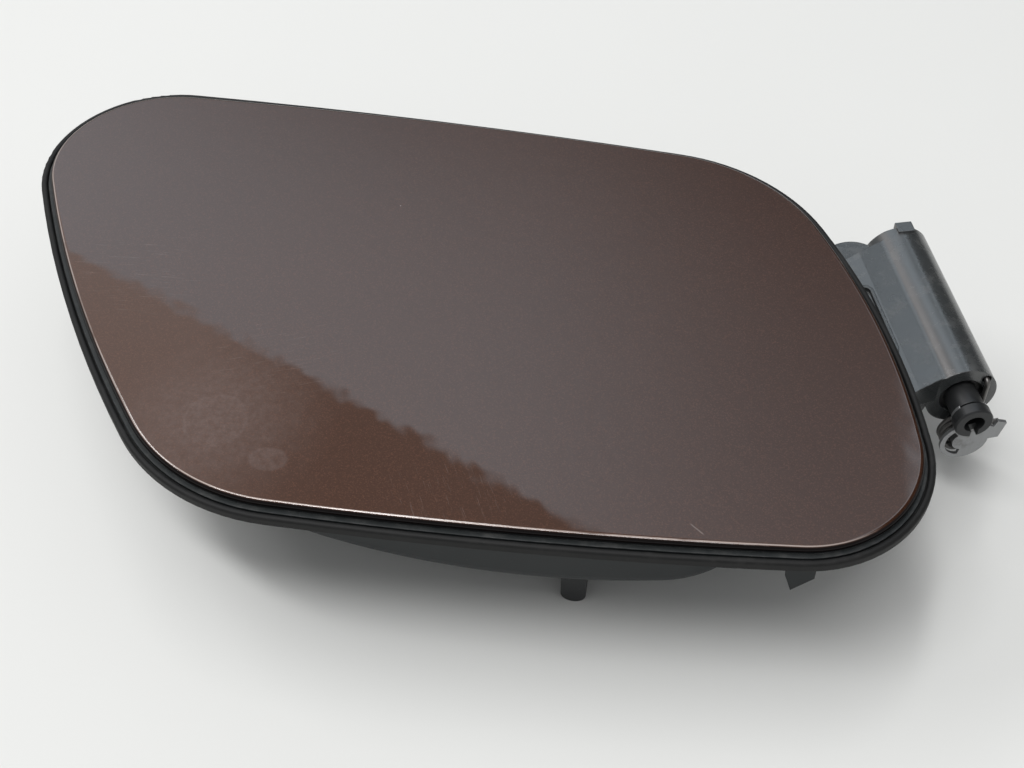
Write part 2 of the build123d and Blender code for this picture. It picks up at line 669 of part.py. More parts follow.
# Torsion spring: turns under the spindle, one leg up into the barrel's hole, one along the hook.
coil_centre = ACROSS.from_local_coords((SPRING_X, SPRING_Z, COIL_BACK))
with BuildLine() as coil_path:
    Helix(
        SPRING_PITCH,
        SPRING_PITCH * SPRING_TURNS,
        SPRING_RADIUS,
        center=coil_centre,
        direction=ACROSS.z_dir,
        lefthand=True,
    )
with BuildLine(ACROSS) as leg_path:
    FilletPolyline(
        (HOLE_X, HOLE_Z, MOUTH - ANCHOR_DEPTH),
        (HOLE_X, HOLE_Z, COIL_BACK),
        (HOLE_X, SPRING_Z, COIL_BACK),
        radius=SPRING_BEND,
    )
with BuildLine(ACROSS) as arm_path:
    Line(
        (SPRING_X, SPRING_Z + SPRING_RADIUS, COIL_FRONT),
        (SPRING_X + SPRING_ARM, SPRING_Z + SPRING_RADIUS, COIL_FRONT),
    )
coil_line = coil_path.line.rotate(Axis(coil_centre, ACROSS.z_dir), 180)
spring_line = Wire(leg_path.line.edges() + coil_line.edges() + arm_path.line.edges())
with BuildPart() as torsion_spring:
    with BuildSketch(Plane(spring_line @ 0, z_dir=spring_line % 0)):
        Circle(SPRING_WIRE / 2)
    sweep(path=spring_line)
torsion_spring.part.label = "torsion_spring"
export_step(torsion_spring.part, "parts/torsion_spring.step")

# Cap cradle: strap across the dish with a finger at each end.
with BuildPart() as cap_cradle:
    with Locations((CRADLE_X, CRADLE_Y, STRAP_BOTTOM)):
        Box(
            CRADLE_WIDTH,
            CRADLE_SPAN,
            CRADLE_THICKNESS,
            align=(Align.CENTER, Align.CENTER, Align.MIN),
        )
    fillet(cap_cradle.edges().filter_by(Axis.Z), 3)
    for side in (-1, 1):
        face_y = CRADLE_Y + side * (CRADLE_SPAN / 2 - FINGER_THICKNESS)
        with BuildSketch(Plane.XZ.offset(-face_y)):
            with BuildLine():
                Line(
                    (CRADLE_X - FINGER_WIDTH / 2, FLOOR_Z + FINGER_WIDTH / 2),
                    (CRADLE_X - FINGER_WIDTH / 2, STRAP_BOTTOM + 1),
                )
                Line(
                    (CRADLE_X - FINGER_WIDTH / 2, STRAP_BOTTOM + 1),
                    (CRADLE_X + FINGER_WIDTH / 2, STRAP_BOTTOM + 1),
                )
                Line(
                    (CRADLE_X + FINGER_WIDTH / 2, STRAP_BOTTOM + 1),
                    (CRADLE_X + FINGER_WIDTH / 2, FLOOR_Z + FINGER_WIDTH / 2),
                )
                ThreePointArc(
                    (CRADLE_X + FINGER_WIDTH / 2, FLOOR_Z + FINGER_WIDTH / 2),
                    (CRADLE_X, FLOOR_Z),
                    (CRADLE_X - FINGER_WIDTH / 2, FLOOR_Z + FINGER_WIDTH / 2),
                )
            make_face()
        extrude(amount=-side * FINGER_THICKNESS)
        with BuildSketch(Plane.YZ.offset(CRADLE_X - FINGER_WIDTH / 2)):
            with BuildLine():
                Polyline(
                    (face_y, FLOOR_Z + FINGER_WIDTH / 2),
                    (face_y - side * FINGER_BARB, FLOOR_Z + FINGER_WIDTH),
                    (face_y, FLOOR_Z + 1.4 * FINGER_WIDTH),
                    close=True,
                )
            make_face()
        extrude(amount=FINGER_WIDTH)
    with Locations([(x, y, STRAP_BOTTOM) for x, y in CRADLE_SCREWS]):
        Cylinder(SCREW_PASS, 4 * CRADLE_THICKNESS, mode=Mode.SUBTRACT)
cap_cradle.part.label = "cap_cradle"
export_step(cap_cradle.part, "parts/cap_cradle.step")

# Latch striker: base plate with a bent rod loop.
LOOP_Z = FLOOR_Z + STRIKER_ROD / 2
with BuildPart() as latch_striker:
    with BuildLine(Plane.YZ.offset(STRIKER_X)) as loop_path:
        FilletPolyline(
            (STRIKER_Y - STRIKER_SPAN / 2, STRIKER_BOTTOM + 0.5),
            (STRIKER_Y - STRIKER_SPAN / 2, LOOP_Z),
            (STRIKER_Y + STRIKER_SPAN / 2, LOOP_Z),
            (STRIKER_Y + STRIKER_SPAN / 2, STRIKER_BOTTOM + 0.5),
            radius=STRIKER_ROD,
        )
    with BuildSketch(Plane(loop_path.line @ 0, z_dir=loop_path.line % 0)):
        Circle(STRIKER_ROD / 2)
    sweep(path=loop_path.line)
    with BuildSketch(Plane.XY.offset(STRIKER_BOTTOM)):
        with Locations((STRIKER_X, STRIKER_Y)):
            RectangleRounded(STRIKER_WIDTH, STRIKER_LENGTH, STRIKER_CORNER)
        with Locations(STRIKER_SCREWS):
            Circle(SCREW_PASS, mode=Mode.SUBTRACT)
    extrude(amount=STRIKER_BASE)
latch_striker.part.label = "latch_striker"
export_step(latch_striker.part, "parts/latch_striker.step")

# Screws, heads down, each group one node.
for group_name, points, seat, bite_from in (
    ("arm_screws", ARM_SCREWS, FOOT_BOTTOM, PLATE_FOOT_TOP),
    ("cradle_screws", CRADLE_SCREWS, STRAP_BOTTOM, DISH_BOTTOM),
    ("striker_screws", STRIKER_SCREWS, STRIKER_BOTTOM, DISH_BOTTOM),
):
    with BuildPart() as screws:
        with Locations([(x, y, seat - SCREW_HEAD) for x, y in points]):
            Cylinder(
                SCREW_HEAD_RADIUS,
                SCREW_HEAD,
                align=(Align.CENTER, Align.CENTER, Align.MIN),
            )
        chamfer(screws.faces().filter_by(Plane.XY).group_by(Axis.Z)[0].edges(), 0.5)
        with Locations([(x, y, seat) for x, y in points]):
            Cylinder(
                SCREW_RADIUS,
                bite_from - seat + SCREW_BITE,
                align=(Align.CENTER, Align.CENTER, Align.MIN),
            )
        with BuildSketch(Plane.XY.offset(seat - SCREW_HEAD)):
            with Locations(points):
                RegularPolygon(SCREW_DRIVE, 6)
        extrude(amount=SCREW_HEAD - 0.5, mode=Mode.SUBTRACT)
    screws.part.label = group_name
    export_step(screws.part, f"parts/{group_name}.step")

# Rubber buffers pressed into the flange.
for buffer_name, (buffer_x, buffer_y) in BUFFERS.items():
    with BuildPart() as buffer:
        with Locations((buffer_x, buffer_y, FLANGE_BOTTOM)):
            Cylinder(
                BUFFER_RADIUS,
                BUFFER_HEIGHT,
                align=(Align.CENTER, Align.CENTER, Align.MAX),
            )
        fillet(buffer.faces().sort_by(Axis.Z)[0].edges(), 1.4)
        with Locations((buffer_x, buffer_y, FLANGE_BOTTOM)):
            Cylinder(
                BUFFER_STEM,
                FLANGE_THICKNESS,
                align=(Align.CENTER, Align.CENTER, Align.MIN),
            )
    buffer.part.label = buffer_name
    export_step(buffer.part, f"parts/{buffer_name}.step")
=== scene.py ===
"""Looks of a fuel filler flap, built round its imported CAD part.

The row frame has +Z out of the painted face and +X along the flap towards its hinge.
Sizes are in millimetres and become metres where a mesh, a light or the camera is made.
"""

from __future__ import annotations

import logging
import math
from dataclasses import dataclass, field
from enum import Enum
from typing import Any, Callable, Sequence

import bpy
from mathutils import Matrix, Vector, noise


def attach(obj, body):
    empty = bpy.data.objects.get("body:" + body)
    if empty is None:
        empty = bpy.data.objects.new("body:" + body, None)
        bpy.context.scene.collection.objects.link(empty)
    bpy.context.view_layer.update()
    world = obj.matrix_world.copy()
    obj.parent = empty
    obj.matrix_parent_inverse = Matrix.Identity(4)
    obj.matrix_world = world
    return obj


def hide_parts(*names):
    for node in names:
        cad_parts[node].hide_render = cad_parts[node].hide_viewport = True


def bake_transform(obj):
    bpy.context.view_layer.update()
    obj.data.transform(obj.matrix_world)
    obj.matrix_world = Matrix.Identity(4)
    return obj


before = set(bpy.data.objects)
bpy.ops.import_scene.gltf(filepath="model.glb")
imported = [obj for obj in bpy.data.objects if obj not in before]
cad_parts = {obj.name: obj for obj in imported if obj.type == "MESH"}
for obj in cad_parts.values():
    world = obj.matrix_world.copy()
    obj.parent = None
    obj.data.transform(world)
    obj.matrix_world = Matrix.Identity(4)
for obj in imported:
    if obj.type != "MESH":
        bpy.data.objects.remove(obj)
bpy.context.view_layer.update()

LOG = logging.getLogger("flap")
MM = 0.001
BEVEL_SAMPLES = 4

Point = tuple[float, float, float]
Plan = tuple[float, float]
Colour = tuple[float, float, float]


class Body(Enum):
    """The moving bodies of the part."""

    FLAP = "flap"
    HINGE_MOUNT = "hinge_mount"


class Slot(Enum):
    """Names of two of the record's material slots; no piece here is given one."""

    PAINT = "paint"
    SPRING_STEEL = "spring_steel"


# Shader sheet


class Value:
    """A shader socket that takes part in Python arithmetic."""

    def __init__(self, sheet: Sheet, socket: bpy.types.NodeSocket) -> None:
        """Holds a socket and the sheet it lies on."""
        self.sheet = sheet
        self.socket = socket

    def _is_vector(self) -> bool:
        """True for a colour or a vector."""
        return self.socket.type in {"RGBA", "VECTOR"}

    def _work(self, operation: str, left: Any, right: Any) -> Value:
        """One operation between two values, at least one of them a socket.

        Args:
            operation: Name of the Math or Vector Math operation.
            left: First value.
            right: Second value.

        Returns:
            The result's socket.
        """
        sides = [left, right]
        if any(isinstance(side, tuple) or (isinstance(side, Value) and side._is_vector()) for side in sides):
            wide = [(side,) * 3 if isinstance(side, (int, float)) else side for side in sides]
            return self.sheet.node("ShaderNodeVectorMath", {"operation": operation}, {0: wide[0], 1: wide[1]})
        return self.sheet.node("ShaderNodeMath", {"operation": operation}, {0: left, 1: right})

    def __add__(self, other: Any) -> Value:
        """Sum."""
        return self._work("ADD", self, other)

    def __radd__(self, other: Any) -> Value:
        """Sum with a number on the left."""
        return self._work("ADD", other, self)

    def __sub__(self, other: Any) -> Value:
        """Difference."""
        return self._work("SUBTRACT", self, other)

    def __rsub__(self, other: Any) -> Value:
        """Difference with a number on the left."""
        return self._work("SUBTRACT", other, self)

    def __mul__(self, other: Any) -> Value:
        """Product."""
        return self._work("MULTIPLY", self, other)

    def __rmul__(self, other: Any) -> Value:
        """Product with a number on the left."""
        return self._work("MULTIPLY", other, self)

    def __abs__(self) -> Value:
        """Size without the sign."""
        return self.sheet.node("ShaderNodeMath", {"operation": "ABSOLUTE"}, {0: self})

    def ramp(self, low: float, high: float) -> Value:
        """Smooth step from 0 at low to 1 at high; low may lie above high."""
        return self.sheet.node(
            "ShaderNodeMapRange",
            {"interpolation_type": "SMOOTHSTEP"},
            {"Value": self, "From Min": low, "From Max": high},
        )


class Sheet:
    """The node sheet of one material."""

    def __init__(self, name: str) -> None:
        """Starts a material with a Principled shader on its output."""
        self.material = bpy.data.materials.new(name)
        self.material.use_nodes = True
        self.tree = self.material.node_tree
        self.tree.nodes.clear()
        self.shader = self.tree.nodes.new("ShaderNodeBsdfPrincipled")
        output = self.tree.nodes.new("ShaderNodeOutputMaterial")
        self.tree.links.new(self.shader.outputs[0], output.inputs[0])

    def node(
        self,
        kind: str,
        settings: dict[str, Any] | None = None,
        sockets: dict[str | int, Any] | None = None,
        out: str | int = 0,
    ) -> Value:
        """Adds a node.

        Args:
            kind: Node type.
            settings: Attributes, set first.
            sockets: Numbers, tuples or Values for the inputs, by name or place.
            out: The output wanted.

        Returns:
            That output.
        """
        added = self.tree.nodes.new(kind)
        for name, setting in (settings or {}).items():
            setattr(added, name, setting)
        for key, value in (sockets or {}).items():
            self._feed(added.inputs[key], value)
        return Value(self, added.outputs[out])

    def _feed(self, socket: bpy.types.NodeSocket, value: Any) -> None:
        """Links a Value to an input, or sets the number."""
        if isinstance(value, Value):
            self.tree.links.new(value.socket, socket)
            return
        if isinstance(value, tuple) and socket.type == "RGBA":
            value = (*value, 1.0)
        socket.default_value = value

    def place(self) -> Value:
        """Position on the piece, in millimetres."""
        return self.node("ShaderNodeTexCoord", out="Object") * 1000.0

    def noise(self, place: Value, size: float, detail: float = 3.0, roughness: float = 0.55) -> Value:
        """Noise from 0 to 1 whose lumps are about size millimetres wide."""
        sockets = {"Vector": place, "Scale": 1.0 / size, "Detail": detail, "Roughness": roughness}
        return self.node("ShaderNodeTexNoise", {}, sockets)

    def cells(self, place: Value, size: float, out: str = "Distance") -> Value:
        """Random cells about size millimetres wide."""
        return self.node("ShaderNodeTexVoronoi", {}, {"Vector": place, "Scale": 1.0 / size}, out)

    def split(self, value: Value, axis: str) -> Value:
        """One of the parts X, Y or Z of a vector."""
        return self.node("ShaderNodeSeparateXYZ", {}, {0: value}, axis)

    def turned(self, place: Value, centre: Plan, degrees: float, scale: Point = (1.0, 1.0, 1.0)) -> Value:
        """Position measured from a centre along axes turned about Z, then scaled."""
        moved = place - (centre[0], centre[1], 0.0)
        sockets = {"Vector": moved, "Angle": -math.radians(degrees)}
        spun = self.node("ShaderNodeVectorRotate", {"rotation_type": "Z_AXIS"}, sockets)
        return spun * scale

    def mix(self, factor: Value | float, low: Any, high: Any) -> Value:
        """Colour between low and high."""
        return self.node("ShaderNodeMix", {"data_type": "RGBA"}, {0: factor, 6: low, 7: high}, 2)

    def edges(self, radius: float) -> Value:
        """Mask that is 1 on sharp outer and inner edges and 0 on flats."""
        sockets = {0: self.rounded(radius), 1: self.facing()}
        likeness = self.node("ShaderNodeVectorMath", {"operation": "DOT_PRODUCT"}, sockets, "Value")
        return (1.0 - likeness).ramp(0.01, 0.22)

    def facing(self) -> Value:
        """The surface's own normal."""
        return self.node("ShaderNodeNewGeometry", out="Normal")

    def rounded(self, radius: float) -> Value:
        """The normal with edges rounded to a radius in millimetres."""
        return self.node("ShaderNodeBevel", {"samples": BEVEL_SAMPLES}, {"Radius": radius * MM})

    def bump(self, height: Value, depth: float, strength: float = 1.0, rounding: float = 0.0) -> Value:
        """Normal of a surface raised by height times depth millimetres, over rounded edges if asked."""
        sockets: dict[str | int, Any] = {"Height": height, "Distance": depth * MM, "Strength": strength}
        if rounding:
            sockets["Normal"] = self.rounded(rounding)
        return self.node("ShaderNodeBump", {}, sockets)

    def surface(self, **values: Any) -> bpy.types.Material:
        """Feeds the Principled shader; a name's underscores stand for spaces."""
        for name, value in values.items():
            self._feed(self.shader.inputs[name.replace("_", " ")], value)
        return self.material


# Finishes


@dataclass(frozen=True)
class SwirlPatch:
    """One rubbed patch of the lacquer: where it lies, how far it reaches and which way its hairs run."""

    degrees: float
    centre: Plan
    reach: float


@dataclass(frozen=True)
class FlakePaint:
    """Brown metallic paint under clear lacquer, with water marks, fine swirls and a nick, painted shade on
    faces that don't face up and a painted highlight along the rolled edge's low and free sides.
    """

    name: str = "brown_flake_paint"
    colour: Colour = (0.047, 0.0205, 0.012)
    flake: Colour = (0.26, 0.11, 0.065)
    # Near-black colour of the painted shade on the hem and on any face that doesn't face up.
    hem: Colour = (0.006, 0.004, 0.004)
    haze_colour: Colour = (0.34, 0.28, 0.27)
    swirl_colour: Colour = (0.42, 0.33, 0.29)
    mark_colour: Colour = (0.55, 0.49, 0.46)
    # Colour of the painted highlight along the rolled edge.
    roll_highlight_colour: Colour = (0.66, 0.58, 0.54)
    flake_size: float = 0.22
    ring_centre: Plan = (-158.3, -34.5)
    ring_radius: float = 6.6
    spot_centre: Plan = (-145.1, -42.8)
    spot_radius: float = 4.4
    nick_centre: Plan = (-58.5, -47.4)
    nick_turn: float = -38.0
    nick_length: float = 4.0
    speck_pitch: float = 9.0
    peel_depth: float = 0.024
    swirls: tuple[SwirlPatch, ...] = (
        SwirlPatch(4.0, (-189.0, 6.0), 24.0),
        SwirlPatch(-64.0, (-107.0, -46.0), 17.0),
        SwirlPatch(20.0, (-150.0, -16.0), 22.0),
    )

    def material(self) -> bpy.types.Material:
        """Builds the paint.

        Returns:
            The material.
        """
        sheet = Sheet(self.name)
        place = sheet.place()
        flakes = sheet.split(sheet.cells(place, self.flake_size, "Color"), "X")
        tone = sheet.noise(place, 60.0, 2.0)
        flaked = sheet.mix(flakes.ramp(0.70, 1.0) * 0.08, self.colour, self.flake)
        base = flaked * (0.90 + 0.2 * tone) * (0.90 + 0.2 * flakes)
        haze = self._water_marks(sheet, place)
        swirl = self._swirls(sheet, place)
        nick = self._nick(sheet, place)
        specks = self._specks(sheet, place)
        hazed = sheet.mix(haze * 0.26, base, self.haze_colour)
        swirled = sheet.mix(swirl * 0.14, hazed, self.swirl_colour)
        marked = sheet.mix(nick * 0.22 + specks * 0.7, swirled, self.mark_colour)
        # Painted shade: where the normal tilts away from straight up, as on the hem and the outer roll, the
        # base colour turns to the near-black hem colour.
        facing = sheet.facing()
        face = sheet.split(facing, "Z").ramp(0.72, 0.93)
        paint_with_painted_shade = sheet.mix(face, self.hem, marked)
        height = self._peel(sheet, place) + swirl * 0.8 - nick * 0.3
        # Base colour: the paint with its painted shade, under a painted highlight line along the rolled edge.
        return sheet.surface(
            Base_Color=sheet.mix(self._painted_roll_highlight(sheet, place, facing) * 0.45, paint_with_painted_shade, self.roll_highlight_colour),
            Metallic=0.45 - 0.3 * haze,
            Roughness=0.42 + 0.10 * tone + 0.2 * haze + 0.15 * nick,
            Coat_Weight=(1.0 - 0.3 * haze - 0.5 * nick) * (0.3 + 0.7 * face),
            Specular_IOR_Level=0.0,
            Coat_Roughness=0.025,
            Coat_IOR=1.5,
            Normal=sheet.bump(height, self.peel_depth, 0.7),
        )

    def _painted_roll_highlight(self, sheet: Sheet, place: Value, facing: Value) -> Value:
        """Mask of the painted highlight, a pale line along the rolled edge, on the low and free sides only.
        """
        upward = sheet.split(facing, "Z")
        low_side = (sheet.split(facing, "X") + sheet.split(facing, "Y")).ramp(0.0, -0.2)
        band = upward.ramp(0.86, 0.92) * upward.ramp(0.992, 0.965)
        return band * sheet.noise(place, 14.0, 3.0).ramp(0.15, 0.55) * low_side

    def _peel(self, sheet: Sheet, place: Value) -> Value:
        """Height of the orange peel, fine and coarse."""
        fine = sheet.noise(place * (0.3, 1.0, 1.0), 2.2, 1.0)
        coarse = sheet.noise(place * (0.6, 1.0, 1.0), 9.0, 1.5)
        return 0.7 * fine + 3.0 * coarse

    def _away(self, sheet: Sheet, place: Value, centre: Plan, squash: float) -> Value:
        """Distance in plan from a centre, with Y stretched."""
        flat = (place - (*centre, 0.0)) * (1.0, squash, 0.0)
        return sheet.node("ShaderNodeVectorMath", {"operation": "LENGTH"}, {0: flat}, "Value")

    def _water_marks(self, sheet: Sheet, place: Value) -> Value:
        """A faint dried ring, a dull spot beside it and a veil of haze round both."""
        wobble = 2.0 * (sheet.noise(place, 5.0, 4.0, 0.6) - 0.5)
        ring_away = self._away(sheet, place, self.ring_centre, 1.0) + wobble
        ring = abs(ring_away - self.ring_radius).ramp(0.55, 0.1) * sheet.noise(place, 7.0).ramp(0.35, 0.6)
        fill = ring_away.ramp(self.ring_radius + 0.3, self.ring_radius - 0.6)
        spot_away = self._away(sheet, place, self.spot_centre, 1.35) + wobble * 0.5
        spot = spot_away.ramp(self.spot_radius, self.spot_radius - 0.8)
        veil = (self._away(sheet, place, self.ring_centre, 1.1) + 5.0 * wobble).ramp(26.0, 4.0)
        grain = sheet.noise(place, 1.6, 5.0, 0.7).ramp(0.3, 0.75)
        return (0.55 * veil + 0.12 * fill + 0.30 * ring + 0.42 * spot) * (0.35 + 0.65 * grain)

    def _swirls(self, sheet: Sheet, place: Value) -> Value:
        """Bundles of hair-fine scratches where the lacquer was rubbed."""
        lines: Value | float = 0.0
        for patch in self.swirls:
            along = sheet.turned(place, patch.centre, patch.degrees, (0.05, 1.0, 1.0))
            hairs = sheet.noise(along, 0.36, 4.0, 0.7).ramp(0.58, 0.72)
            away = self._away(sheet, place, patch.centre, 1.3) + 14.0 * (sheet.noise(place, 8.0) - 0.5)
            lines = lines + hairs * away.ramp(patch.reach, patch.reach * 0.3)
        return lines

    def _nick(self, sheet: Sheet, place: Value) -> Value:
        """One short scratch through the lacquer near the low edge."""
        local = sheet.turned(place, self.nick_centre, self.nick_turn)
        along = abs(sheet.split(local, "X")).ramp(self.nick_length / 2, self.nick_length / 2 - 0.8)
        across = abs(sheet.split(local, "Y") + 0.12 * sheet.noise(place, 0.8)).ramp(0.2, 0.06)
        return along * across

    def _specks(self, sheet: Sheet, place: Value) -> Value:
        """Sparse dust specks."""
        chosen = sheet.split(sheet.cells(place, self.speck_pitch, "Color"), "Y").ramp(0.93, 0.95)
        return chosen * sheet.cells(place, self.speck_pitch).ramp(0.028, 0.012)


@dataclass(frozen=True)
class MouldedPlastic:
    """Satin moulded plastic with grain, rub marks, pale edges and settled dust."""

    name: str
    colour: Colour
    roughness: float = 0.42
    grain: float = 0.5
    grain_depth: float = 0.02
    dust: float = 0.10
    rounding: float = 0.35
    specular: float = 0.5
    dust_colour: Colour = (0.42, 0.40, 0.38)

    def material(self) -> bpy.types.Material:
        """Builds the plastic.

        Returns:
            The material.
        """
        sheet = Sheet(self.name)
        place = sheet.place()
        grain = sheet.noise(place, self.grain, 2.0)
        cloud = sheet.noise(place, 18.0, 4.0)
        rubs = sheet.noise(place * (1.0, 0.12, 1.0), 1.1, 4.0, 0.7).ramp(0.60, 0.78) * cloud.ramp(0.42, 0.7)
        edge = sheet.edges(self.rounding) * sheet.noise(place, 2.2, 4.0).ramp(0.35, 0.7)
        upward = sheet.split(sheet.facing(), "Z").ramp(0.2, 1.0)
        dust = sheet.noise(place, 6.0, 6.0, 0.7).ramp(0.45, 0.8) * upward
        pale = tuple(0.55 * part + 0.16 for part in self.colour)
        deep = tuple(part * 0.82 for part in self.colour)
        light = tuple(part * 1.16 for part in self.colour)
        toned = sheet.mix(cloud, deep, light)
        worn = sheet.mix(edge * 0.45 + rubs * 0.25, toned, pale)
        dusty = sheet.mix(dust * self.dust, worn, self.dust_colour)
        return sheet.surface(
            Base_Color=dusty,
            Specular_IOR_Level=self.specular,
            Roughness=self.roughness + 0.12 * cloud + 0.12 * dust - 0.10 * rubs,
            Normal=sheet.bump(grain + rubs * 0.3, self.grain_depth, 0.6, self.rounding),
        )


@dataclass(frozen=True)
class SoftRubber:
    """Black rubber with a bloomed, slightly lumpy skin."""

    name: str
    colour: Colour
    roughness: float = 0.55
    bloom: float = 0.16
    specular: float = 0.25
    bloom_colour: Colour = (0.30, 0.29, 0.28)
    speck_colour: Colour = (0.5, 0.48, 0.45)

    def material(self) -> bpy.types.Material:
        """Builds the rubber.

        Returns:
            The material.
        """
        sheet = Sheet(self.name)
        place = sheet.place()
        lumps = sheet.noise(place, 1.4, 3.0)
        cloud = sheet.noise(place, 14.0, 5.0, 0.65)
        bloom = cloud.ramp(0.45, 0.75) * lumps.ramp(0.3, 0.7)
        edge = sheet.edges(0.3) * lumps.ramp(0.4, 0.65)
        body = sheet.mix(bloom * self.bloom + edge * 0.04, self.colour, self.bloom_colour)
        specks = sheet.cells(place, 2.6).ramp(0.07, 0.02) * cloud.ramp(0.5, 0.7)
        return sheet.surface(
            Base_Color=sheet.mix(specks * 0.4, body, self.speck_colour),
            Specular_IOR_Level=self.specular,
            Roughness=self.roughness + 0.18 * bloom,
            Normal=sheet.bump(lumps, 0.05, 0.5, 0.25),
        )


@dataclass(frozen=True)
class PlatedSteel:
    """Plated or blackened steel with fine streaks, dull patches and bright edges."""

    name: str
    colour: Colour
    metallic: float = 0.9
    roughness: float = 0.34
    dull: Colour = (0.10, 0.09, 0.085)
    edge_gain: float = 0.4

    def material(self) -> bpy.types.Material:
        """Builds the steel.

        Returns:
            The material.
        """
        sheet = Sheet(self.name)
        place = sheet.place()
        streaks = sheet.noise(place * (1.0, 1.0, 0.1), 0.35, 3.0)
        cloud = sheet.noise(place, 4.5, 5.0, 0.65)
        stain = cloud.ramp(0.52, 0.78)
        edge = sheet.edges(0.25) * sheet.noise(place, 1.2).ramp(0.3, 0.6)
        bright = tuple(min(1.0, part * 1.5 + 0.12) for part in self.colour)
        body = sheet.mix(stain * 0.55, self.colour, self.dull) * (0.9 + 0.2 * streaks)
        return sheet.surface(
            Base_Color=sheet.mix(edge * self.edge_gain, body, bright),
            Metallic=self.metallic - 0.35 * stain,
            Roughness=self.roughness + 0.14 * streaks + 0.2 * stain,
            Normal=sheet.bump(streaks + 0.4 * cloud, 0.012, 0.6, 0.2),
        )


@dataclass(frozen=True)
class PaleFloor:
    """Plain pale table top."""

    name: str = "pale_table"
    colour: Colour = (0.735, 0.738, 0.722)

    def material(self) -> bpy.types.Material:
        """Builds the table's finish.

        Returns:
            The material.
        """
        sheet = Sheet(self.name)
        place = sheet.place()
        cloud = sheet.noise(place, 160.0, 4.0)
        shade = tuple(part * 0.965 for part in self.colour)
        return sheet.surface(
            Base_Color=sheet.mix(cloud, shade, self.colour),
            Roughness=0.75,
            Normal=sheet.bump(sheet.noise(place, 4.0, 3.0), 0.05, 0.4),
        )


# Mesh helpers


def mesh_piece(name: str, points: Sequence[Point], faces: Sequence[Sequence[int]]) -> bpy.types.Object:
    """Makes a smooth-shaded mesh object.

    Args:
        name: Name of the piece.
        points: Vertices in millimetres, in the row frame.
        faces: Vertex numbers of each face.

    Returns:
        The object, linked to the scene.
    """
    mesh = bpy.data.meshes.new(name)
    mesh.from_pydata([tuple(part * MM for part in point) for point in points], [], faces)
    mesh.validate()
    mesh.update()
    mesh.shade_smooth()
    piece = bpy.data.objects.new(name, mesh)
    bpy.context.scene.collection.objects.link(piece)
    return piece


def ring_faces(rings: int, count: int) -> list[tuple[int, ...]]:
    """Quads between closed rings of count points, each ring following the one before."""
    faces: list[tuple[int, ...]] = []
    for ring in range(rings - 1):
        this, following = ring * count, (ring + 1) * count
        for step in range(count):
            after = (step + 1) % count
            faces.append((this + step, this + after, following + after, following + step))
    return faces


def grid_faces(cells: int) -> list[tuple[int, ...]]:
    """Quads of a square grid of points, row by row."""
    wide = cells + 1
    starts = [row * wide + column for row in range(cells) for column in range(cells)]
    return [(start, start + 1, start + wide + 1, start + wide) for start in starts]


def grid_piece(name: str, cells: int, place: Callable[[float, float], Point]) -> bpy.types.Object:
    """Makes a square grid of faces.

    Args:
        name: Name of the piece.
        cells: Faces along each side.
        place: Gives the point at a share along and a share across, each from 0 to 1.

    Returns:
        The object.
    """
    shares = [step / cells for step in range(cells + 1)]
    points = [place(along, across) for across in shares for along in shares]
    return mesh_piece(name, points, grid_faces(cells))


def show_only_mirrored(piece: bpy.types.Object) -> None:
    """Lets a stage piece be seen in reflections alone."""
    piece.visible_camera = False
    piece.visible_diffuse = False
    piece.visible_shadow = False


def wire_piece(name: str, path: Sequence[Point], radius: float, sides: int = 14) -> bpy.types.Object:
    """Makes a round wire along a path.

    Args:
        name: Name of the piece.
        path: Points in millimetres.
        radius: Wire radius in millimetres.
        sides: Corners of the wire's section.

    Returns:
        The object.
    """
    line = [Vector(point) for point in path]
    points: list[Point] = []
    across = Vector((0.31, 0.17, 0.93))
    for index, spot in enumerate(line):
        heading = (line[min(index + 1, len(line) - 1)] - line[max(index - 1, 0)]).normalized()
        across = (across - heading * across.dot(heading)).normalized()
        beside = heading.cross(across)
        for step in range(sides):
            turn = 2 * math.pi * step / sides
            points.append(tuple(spot + radius * (math.cos(turn) * across + math.sin(turn) * beside)))
    faces = ring_faces(len(line), sides)
    last = (len(line) - 1) * sides
    faces.append(tuple(reversed(range(sides))))
    faces.append(tuple(range(last, last + sides)))
    return mesh_piece(name, points, faces)


# Sub-assemblies


